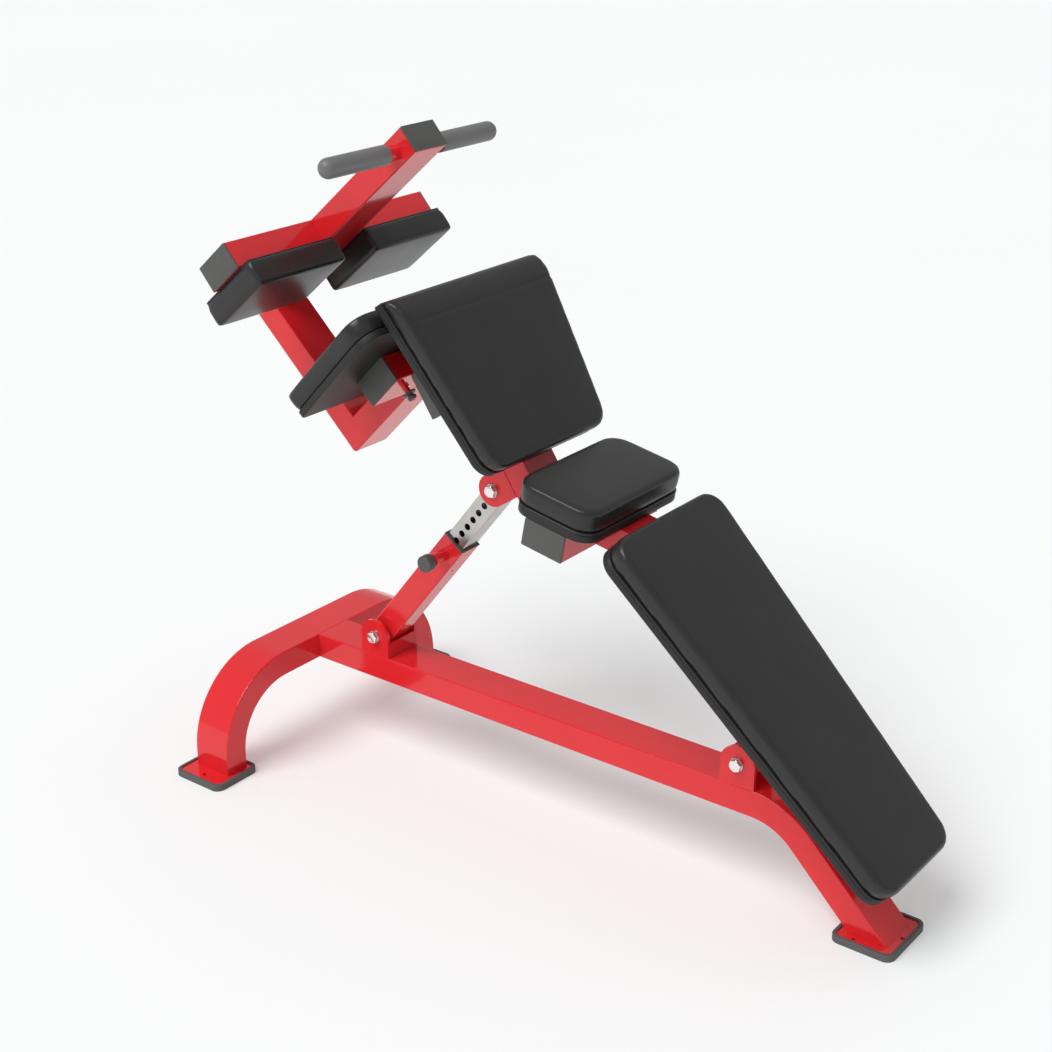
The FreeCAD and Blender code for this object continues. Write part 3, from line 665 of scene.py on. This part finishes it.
@dataclass
class Pad:
    """One upholstered pad: wrapped board, welt band and foam-filled cushion."""

    stem: str
    slope: Slope
    facing: Facing
    base: float
    plan: RoundedPlan
    board_height: float
    cushion_low: float
    total: float
    node_stem: str
    roll: float = 10.0
    fill_cap: float = 3.0
    voxel: float = 0.006
    rolled_from: float | None = None
    roll_reach: float = 66.0
    crease: float | None = None
    cushion_node: str | None = None
    foam: Foam = Foam()

    def to_row(self, points: Array) -> Array:
        """Plan millimetres to row metres."""
        return self.slope.place(turn_out(points, self.facing, self.base))

    def taper(self, points: Array) -> Array:
        """Lowers the height in a quarter ellipse towards the end that rolls over.

        Args:
            points: plan points (…, 3).

        Returns:
            The points with the height above the board scaled.
        """
        if self.rolled_from is None:
            return points
        share = np.clip((self.rolled_from - points[..., 0]) / self.roll_reach, 0.0, 0.995)
        scale = np.maximum(np.sqrt(1.0 - share ** 2), 0.12)
        lowered = points.copy()
        lowered[..., 2] = self.cushion_low + (points[..., 2] - self.cushion_low) * scale
        return lowered

    def cushion_form(self) -> Shell:
        """Start shape, a little shy all round: rolled sides, then rings that shrink to the middle.

        Returns:
            The closed start shape in plan metres.
        """
        shy = 0.8
        steps = 8
        low = self.cushion_low + 0.4
        high = self.total - shy
        side = rounded_tier(low, high, self.roll, shy, steps)
        side[:steps] = rounded_tier(low, high, 3.0, shy, steps)[:steps]
        rings = self.plan.rings(side)
        middle = rings[-1].mean(axis=0)
        share = np.linspace(0.97, 0.02, 34)[:, None, None]
        face = middle + (rings[-1][None] - middle) * share
        grid = self.taper(np.concatenate([rings, face]))
        return band(grid / 1000.0)

    def fill_foam(self, made: Any) -> None:
        """Swells the cover like foam: pressure inside cloth, the underside held.

        Only the outward part of each point's movement is kept, capped and evened, so the rim never
        draws in and the taut cover has no wrinkles.

        Args:
            made: the remeshed cushion in plan metres.
        """
        start = read_points(made.data)
        held = np.flatnonzero(start[:, 2] < (self.cushion_low + 4.0) / 1000.0)
        group = made.vertex_groups.new(name="board_side")
        group.add(held.tolist(), 1.0, "REPLACE")
        cloth = made.modifiers.new("Foam", "CLOTH")
        cloth.settings.quality = self.foam.quality
        cloth.settings.use_pressure = True
        cloth.settings.uniform_pressure_force = self.foam.pressure
        cloth.settings.effector_weights.gravity = 0.0
        cloth.settings.vertex_group_mass = group.name
        cloth.point_cache.frame_start = 1
        cloth.point_cache.frame_end = self.foam.frames
        for step in range(1, self.foam.frames + 1):
            bpy.context.scene.frame_set(step)
        swollen = baked(made)
        moved = read_points(swollen) - start
        flat = np.empty(len(start) * 3)
        made.data.vertex_normals.foreach_get("vector", flat)
        normal = flat.reshape(-1, 3)
        cap = self.fill_cap / 1000.0
        swell = cap * np.tanh(np.clip(np.sum(moved * normal, axis=1), 0.0, None) / cap)
        swell[held] = 0.0
        made.modifiers.clear()
        made.vertex_groups.clear()
        swell = spread_evenly(made.data, swell, self.foam.even_rounds)
        write_points(made.data, start + normal * swell[:, None])
        bpy.context.scene.frame_set(1)
        bpy.data.meshes.remove(swollen)

    def straighten_rim(self, mesh: Any) -> None:
        """Evens x and y of the lowest band of points, so the seam line runs true along a slanted side.

        Args:
            mesh: the remeshed cushion in plan metres.
        """
        points = read_points(mesh)
        near = np.clip((self.cushion_low + 16.0 - points[:, 2] * 1000.0) / 8.0, 0.0, 1.0)
        for axis in (0, 1):
            evened = spread_evenly(mesh, points[:, axis], 6)
            points[:, axis] += (evened - points[:, axis]) * near
        write_points(mesh, points)

    def press_crease(self, points: Array) -> Array:
        """Sews a shallow channel across the face: depth falls off as a bell curve from the crease line.

        Args:
            points: cushion points (count, 3) in plan metres.

        Returns:
            The points with the channel pressed in.
        """
        if self.crease is None:
            return points
        away = points[:, 0] * 1000.0 - self.crease
        upper = points[:, 2] * 1000.0 > self.cushion_low + 20.0
        dented = points.copy()
        dented[:, 2] -= np.where(upper, 0.0016 * np.exp(-(away / 3.2) ** 2), 0.0)
        return dented

    def cushion(self) -> Any:
        """Builds the cushion: start form, voxel remesh, foam fill, one subdivision, sewn crease.

        Returns:
            The cushion's object.
        """
        made = make_object(self.stem + "_cover", [self.cushion_form()])
        remesh = made.modifiers.new("Voxels", "REMESH")
        remesh.mode = "VOXEL"
        remesh.voxel_size = self.voxel
        made.data = baked(made)
        made.modifiers.clear()
        self.straighten_rim(made.data)
        self.fill_foam(made)
        smooth = made.modifiers.new("Smooth", "SUBSURF")
        smooth.levels = 1
        smooth.render_levels = 1
        made.data = baked(made)
        made.modifiers.clear()
        points = self.press_crease(read_points(made.data))
        write_points(made.data, self.to_row(points * 1000.0))
        shaper = bmesh.new()
        shaper.from_mesh(made.data)
        bmesh.ops.recalc_face_normals(shaper, faces=shaper.faces)
        shaper.to_mesh(made.data)
        shaper.free()
        made.data.shade_smooth()
        return made

    def tier(self, low: float, high: float, radius: float, inset: float) -> Shell:
        """A closed ring of the plan between two heights."""
        return band(self.to_row(self.plan.rings(rounded_tier(low, high, radius, inset))))

    def build(self, finishes: Finishes, share_board: bool = False) -> None:
        """Makes and settles the pad's pieces.

        Args:
            finishes: every finish.
            share_board: True where another object carries the board.
        """
        cover = settle(self.cushion(), Body.BENCH, Slot.VINYL, finishes,
                       self.cushion_node or self.node_stem + "_cushion")
        if share_board:
            return
        board = make_object(self.stem + "_base", [self.tier(0.0, self.board_height, 2.6, 0.8)])
        settle(board, Body.BENCH, Slot.BOARD, finishes, self.node_stem + "_board")
        if self.cushion_low - self.board_height > 3.0:
            between = self.tier(self.board_height + 0.3, self.cushion_low - 0.3, 2.4, 0.4)
            settle(make_object(self.stem + "_welt", [between]), Body.BENCH, Slot.VINYL, finishes)


@dataclass
class Upholstery:
    """All six pads of the bench."""

    back: Pad = field(default_factory=lambda: Pad(
        "back_pad", LOWER, Facing.UP, 1163.5,
        RoundedPlan(((169.4, -184.0, 45.0), (1015.8, -136.5, 45.0),
                     (1015.8, 136.5, 45.0), (169.4, 184.0, 45.0)), 12, 40),
        16.0, 22.0, 62.2, "back_pad"))
    seat: Pad = field(default_factory=lambda: Pad(
        "seat_pad", MID, Facing.UP, 885.0,
        RoundedPlan(((557.0, -172.0, 45.0), (752.0, -172.0, 45.0),
                     (752.0, 172.0, 45.0), (557.0, 172.0, 45.0)), 12, 24),
        16.0, 22.0, 70.0, "seat_pad"))
    thigh: Pad = field(default_factory=lambda: Pad(
        "thigh_pad", UPPER, Facing.UP, 1000.0,
        RoundedPlan(((-711.6, -243.4, 3.0), (-312.7, -189.4, 45.0),
                     (-312.7, 189.4, 45.0), (-711.6, 243.4, 3.0)), 12, 34),
        16.0, 22.0, 60.0, "thigh_pad", rolled_from=-646.5, crease=-646.5))
    calf: Pad = field(default_factory=lambda: Pad(
        "calf_pad", CALF, Facing.BACK, -435.0,
        RoundedPlan(((-283.0, 815.0, 18.0), (283.0, 815.0, 18.0),
                     (292.0, 1108.0, 44.0), (-292.0, 1108.0, 44.0)), 10, 30),
        15.0, 15.0, 58.0, "calf_pad", roll=8.0))
    shin_left: Pad = field(default_factory=lambda: Pad(
        "shin_pad_left", HANDLE, Facing.FRONT, 60.0, slab((-305.0, -45.0, -150.0, 31.0), 8.0),
        2.5, 2.5, 58.0, "shin_pad_left", roll=8.0, voxel=0.005, cushion_node="shin_pad_cushion_left"))
    shin_right: Pad = field(default_factory=lambda: Pad(
        "shin_pad_right", HANDLE, Facing.FRONT, 60.0, slab((45.0, 305.0, -150.0, 31.0), 8.0),
        2.5, 2.5, 58.0, "shin_pad_right", roll=8.0, voxel=0.005, cushion_node="shin_pad_cushion_right"))

    def build(self, finishes: Finishes) -> None:
        """Builds every pad. The shin covers wrap over their boards; the boards' backs are one piece.

        Args:
            finishes: every finish.
        """
        for pad in (self.back, self.seat, self.thigh, self.calf):
            pad.build(finishes)
        shins = (self.shin_left, self.shin_right)
        for pad in shins:
            pad.build(finishes, share_board=True)
        boards = [pad.tier(0.0, 11.8, 1.0, 5.0) for pad in shins]
        settle(make_object("shin_pad_bases", boards), Body.BENCH, Slot.BOARD, finishes, "shin_pad_boards")


# ---------------------------------------------------------------- hardware
@dataclass(frozen=True)
class HexHardware:
    """Bolt with a chamfered head, threaded end and nut on one pivot."""

    x: float
    z: float
    corner: float = 14.0
    shank: float = 8.0
    pitch: float = 2.0
    seat: float = 53.0
    head_rise: float = 9.0
    nut_rise: float = 13.0
    bore: float = 8.06

    def hexagon(self, heights: Array, crowns: Array) -> Array:
        """Hexagon cut by a cone: radius is the smaller of apothem / cos(angle from the flat) and the cone.

        Args:
            heights: y of each ring.
            crowns: cone radius at each ring.

        Returns:
            Rings (rows, 72, 3) in local millimetres.
        """
        turn = np.linspace(0.0, 2 * math.pi, 72, endpoint=False)
        apothem = self.corner * math.cos(math.pi / 6)
        across = apothem / np.cos(np.mod(turn - math.radians(15), math.pi / 3) - math.pi / 6)
        radius = np.minimum(across[None, :], crowns[:, None])
        return np.stack([self.x + radius * np.cos(turn), heights[:, None] + 0 * radius,
                         self.z + radius * np.sin(turn)], axis=-1)

    def head(self) -> Shell:
        """Chamfered head from the washer out to its crown.

        Returns:
            The head's shell in row metres.
        """
        rise = np.array([0.0, 7.0, 7.4, 7.8, 8.2, 8.6, self.head_rise])
        crowns = 11.4 + (self.head_rise - rise) * 1.75
        return band(LEVEL.place(self.hexagon(-self.seat - rise, crowns)))

    def nut(self) -> Shell:
        """Nut chamfered on both faces, with its hole: outer rings, then the bore back down.

        Returns:
            The nut's shell in row metres.
        """
        rise = np.array([0.0, 0.5, 1.0, 1.6, 11.4, 12.0, 12.5, self.nut_rise])
        crowns = 11.6 + np.minimum(rise, self.nut_rise - rise) * 1.75
        outer = self.hexagon(self.seat + rise, crowns)
        depths = self.seat + np.array([self.nut_rise, self.nut_rise - 0.6, 0.6, 0.0])
        inner = self.hexagon(depths, np.array([8.7, self.bore, self.bore, 8.7]))
        return band(LEVEL.place(np.concatenate([outer, inner])), wrap=True)

    def rod(self) -> Shell:
        """Shank and threads: radius = shank - depth * |saw(y / pitch - angle / turn)|, and a coned tip.

        Returns:
            The rod's shell in row metres.
        """
        y = np.concatenate([[-self.seat], np.linspace(50.0, 70.0, 121)])[:, None]
        turn = np.linspace(0.0, 2 * math.pi, 48, endpoint=False)[None, :]
        saw = np.abs(np.mod(y / self.pitch - turn / (2 * math.pi), 1.0) * 2.0 - 1.0)
        cut = np.where(y > 50.0, 0.9 * saw, 0.0)
        tip = self.shank - np.maximum(y - 68.6, 0.0)
        radius = np.minimum(self.shank - cut, tip)
        local = np.stack([self.x + radius * np.cos(turn), y + 0 * turn,
                          self.z + radius * np.sin(turn)], axis=-1)
        return band(LEVEL.place(local))


@dataclass(frozen=True)
class PivotHardware:
    """Bolts and nuts of the three pivots."""

    rear: HexHardware = HexHardware(226.6, 296.2)
    front: HexHardware = HexHardware(1189.0, 299.0)
    upper: HexHardware = HexHardware(573.0, 736.5)

    def build(self, finishes: Finishes) -> None:
        """Makes bolts and nuts, grouped as the CAD nodes are.

        Args:
            finishes: every finish.
        """
        lower = (self.rear, self.front)
        groups = (
            ("pivot_bolts_lower", Body.BASE, "lower_pivot_bolts",
             [shell for item in lower for shell in (item.head(), item.rod())]),
            ("pivot_nuts_lower", Body.BASE, "lower_pivot_nuts", [item.nut() for item in lower]),
            ("pivot_bolt_upper", Body.BENCH, "upper_pivot_bolt", [self.upper.head(), self.upper.rod()]),
            ("pivot_nut_upper", Body.BENCH, "upper_pivot_nut", [self.upper.nut()]),
        )
        for name, body, node, shells in groups:
            settle(make_object(name, shells, 30.0), body, Slot.ZINC, finishes, node, finish=finishes.fixings)


@dataclass(frozen=True)
class EndCaps:
    """Moulded caps in the ends of the cross tubes and the handle arm."""

    lid: float = 4.0
    edge: float = 1.2

    def lid_shell(self, slope: Slope, plan: RoundedPlan, facing: Facing, base: float) -> Shell:
        """A lid with rounded edges."""
        rings = plan.rings(rounded_tier(0.0, self.lid, self.edge))
        return band(slope.place(turn_out(rings, facing, base)))

    def build(self, finishes: Finishes) -> None:
        """Makes the eight cross tube lids as one piece and the arm's lid as another.

        Args:
            finishes: every finish.
        """
        # Slope, section (low u, high u, low v, high v) and outer face of each pair of tubes.
        tubes = ((MID, (599.0, 699.0, 825.0, 885.0), 172.0), (UPPER, (-568.7, -468.7, 940.0, 1000.0), 172.0),
                 (CALF, (-435.0, -375.0, 901.0, 1001.0), 172.0), (HANDLE, (0.0, 60.0, -100.0, 0.0), 308.0))
        lids = [self.lid_shell(slope, slab(plan, 2.5), facing, outer - self.lid)
                for slope, plan, outer in tubes for facing in (Facing.LEFT, Facing.RIGHT)]
        settle(make_object("tube_end_lids", lids), Body.BENCH, Slot.PLASTIC, finishes, "cross_tube_caps")
        arm = self.lid_shell(HANDLE, slab((0.0, 60.0, -50.0, 50.0), 2.5), Facing.UP, 340.0)
        settle(make_object("arm_end_lid", [arm]), Body.BENCH, Slot.PLASTIC, finishes, "handle_arm_cap")


@dataclass(frozen=True)
class Grips:
    """Rubber sleeves with domed ends on the handle bar."""

    radius: float = 21.0
    start: float = 82.0
    end: float = 268.0
    lip: float = 2.0
    bore: float = 15.6
    bar_x: float = 31.0
    bar_z: float = 296.0

    def sleeve(self, side: int) -> Shell:
        """Sleeve: a rounded lip, a straight run, then a quarter circle to the tip.

        Args:
            side: -1 for the left sleeve, 1 for the right.

        Returns:
            The sleeve's shell in row metres.
        """
        lip = np.linspace(0.0, math.pi / 2, 6)
        dome = np.linspace(0.0, math.pi / 2, 14)
        rows = np.concatenate([
            [[self.start, self.bore]],
            np.column_stack([self.start + self.lip * (1 - np.cos(lip)),
                             self.radius - self.lip * (1 - np.sin(lip))]),
            np.column_stack([self.end - self.radius * (1 - np.sin(dome)),
                             self.radius * np.cos(dome) + 1e-7])])
        rows[:, 0] *= side
        return spun(rows, HANDLE.level(self.bar_x, self.bar_z), 96)

    def build(self, finishes: Finishes) -> None:
        """Makes both sleeves.

        Args:
            finishes: every finish.
        """
        for side, name in ((-1, "left"), (1, "right")):
            made = make_object("grip_sleeve_" + name, [self.sleeve(side)])
            settle(made, Body.BENCH, Slot.GRIP, finishes, "handle_grip_" + name)


@dataclass(frozen=True)
class PinSpring:
    """Coil that pushes the pull pin home."""

    coil: float = 8.0
    wire: float = 0.7
    pitch: float = 4.0
    near: float = -38.9
    length: float = 19.0
    along: float = 315.0
    travel: float = 12.0

    def coil_shell(self, centre: tuple[float, float]) -> Shell:
        """Wire swept along a helix: path = (r cos t, -pitch t / turn, r sin t).

        The ring stands on the radial and Y directions.

        Args:
            centre: level x and z of the pin's axis.

        Returns:
            The closed wire in row metres.
        """
        turn = np.linspace(0.0, 2 * math.pi * self.length / self.pitch, 230)[:, None]
        ring = np.linspace(0.0, 2 * math.pi, 12, endpoint=False)[None, :]
        reach = self.coil + self.wire * np.cos(ring)
        drop = self.near - self.pitch * turn / (2 * math.pi) + self.wire * np.sin(ring)
        local = np.stack([centre[0] + reach * np.cos(turn), drop, centre[1] + reach * np.sin(turn)], axis=-1)
        return band(LEVEL.place(local))

    def build(self, finishes: Finishes) -> None:
        """Makes the coil.

        Args:
            finishes: every finish.
        """
        centre = STRUT.level(self.along, 0.0)
        made = make_object("pin_coil", [self.coil_shell(centre)])
        settle(made, Body.STRUT_LOWER, Slot.ZINC, finishes, "pin_spring")
        far = self.near - self.length - self.wire
        anchor = LEVEL.place(np.array([centre[0], far, centre[1]]))
        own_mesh(made)


# ---------------------------------------------------------------- studio
@dataclass(frozen=True)
class Studio:
    """Plain pale floor, soft light and the camera."""

    ambient: float = 0.5
    overhead: float = 2.2
    spread: float = 36.0
    lamp_turn: tuple[float, float, float] = (33.0, -12.0, 0.0)
    glow: float = 0.22
    half: float = 30.0
    wall_near: float = 29.0
    wall_far: float = 29.2
    lens: float = 62.32
    sensor: float = 36.0
    camera_at: tuple[float, float, float] = (2.04727, -2.8177, 2.1271)
    camera_turn: tuple[float, float, float] = (67.4, 0.0, 37.3)

    def floor(self) -> None:
        """A wide pale floor."""
        plan = slab((-self.half, self.half, -self.half, self.half), 1.0)
        made = make_object("studio_floor", [band(plan.rings(np.array([[0.0, -0.02], [0.0, 0.0]])))])
        desk = Desk("studio_white")
        soft = desk.noise(0.4)
        made.data.materials.append(desk.finish(
            {"Base Color": desk.blend(soft, (0.690, 0.708, 0.707), (0.710, 0.728, 0.727)),
             "Roughness": soft * 0.1 + 0.6},
            {"Emission Color": (1.0, 1.0, 1.0, 1.0), "Emission Strength": self.glow}))

    def backdrop(self) -> None:
        """A far ring of pale wall that only the background of low views shows; it lights nothing."""
        turn = np.linspace(0.0, 2 * math.pi, 96, endpoint=False)[None, :]
        rows = np.array([[self.wall_near, -0.3], [self.wall_near, self.half],
                         [self.wall_far, self.half], [self.wall_far, -0.3]])
        radius, height = rows[:, :1], rows[:, 1:]
        grid = np.stack([radius * np.cos(turn), radius * np.sin(turn), height + 0 * turn], axis=-1)
        made = make_object("studio_wall", [band(grid, wrap=True)])
        desk = Desk("studio_wall_white")
        soft = desk.noise(0.4)
        made.data.materials.append(desk.finish(
            {"Base Color": desk.blend(soft, (0.02, 0.02, 0.02), (0.03, 0.03, 0.03))},
            {"Emission Color": (1.0, 1.0, 1.0, 1.0), "Emission Strength": 0.97, "Roughness": 1.0}))
        for ray in ("diffuse", "glossy", "transmission", "shadow"):
            setattr(made, "visible_" + ray, False)

    def lamp(self) -> None:
        """A wide soft light from above the bench's near side."""
        data = bpy.data.lights.new("overhead", "SUN")
        data.energy = self.overhead
        data.angle = math.radians(self.spread)
        lamp = bpy.data.objects.new("overhead", data)
        lamp.rotation_euler = tuple(math.radians(angle) for angle in self.lamp_turn)
        bpy.context.scene.collection.objects.link(lamp)

    def build(self) -> None:
        """Sets the world, lamps, floor and camera."""
        scene = bpy.context.scene
        scene.view_settings.view_transform = "Standard"
        world = bpy.data.worlds.new("studio_world")
        world.use_nodes = True
        world.node_tree.nodes["Background"].inputs[0].default_value = (1.0, 1.0, 1.0, 1.0)
        world.node_tree.nodes["Background"].inputs[1].default_value = self.ambient
        self.backdrop()
        scene.world = world
        self.floor()
        self.lamp()
        data = bpy.data.cameras.new("view")
        data.lens = self.lens
        data.sensor_width = self.sensor
        camera = bpy.data.objects.new("view", data)
        camera.location = self.camera_at
        camera.rotation_euler = tuple(math.radians(angle) for angle in self.camera_turn)
        scene.collection.objects.link(camera)
        scene.camera = camera


def main() -> None:
    """Builds every sub-assembly in order."""
    logging.basicConfig(level=logging.INFO, format="%(name)s %(message)s")
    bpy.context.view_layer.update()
    finishes = Finishes()
    log.info("%d CAD nodes dressed", finishes.dress_frame())
    Studio().build()
    Upholstery().build(finishes)
    PivotHardware().build(finishes)
    EndCaps().build(finishes)
    Grips().build(finishes)
    PinSpring().build(finishes)
    log.info("sizes written")


if __name__ == "__main__":
    main()
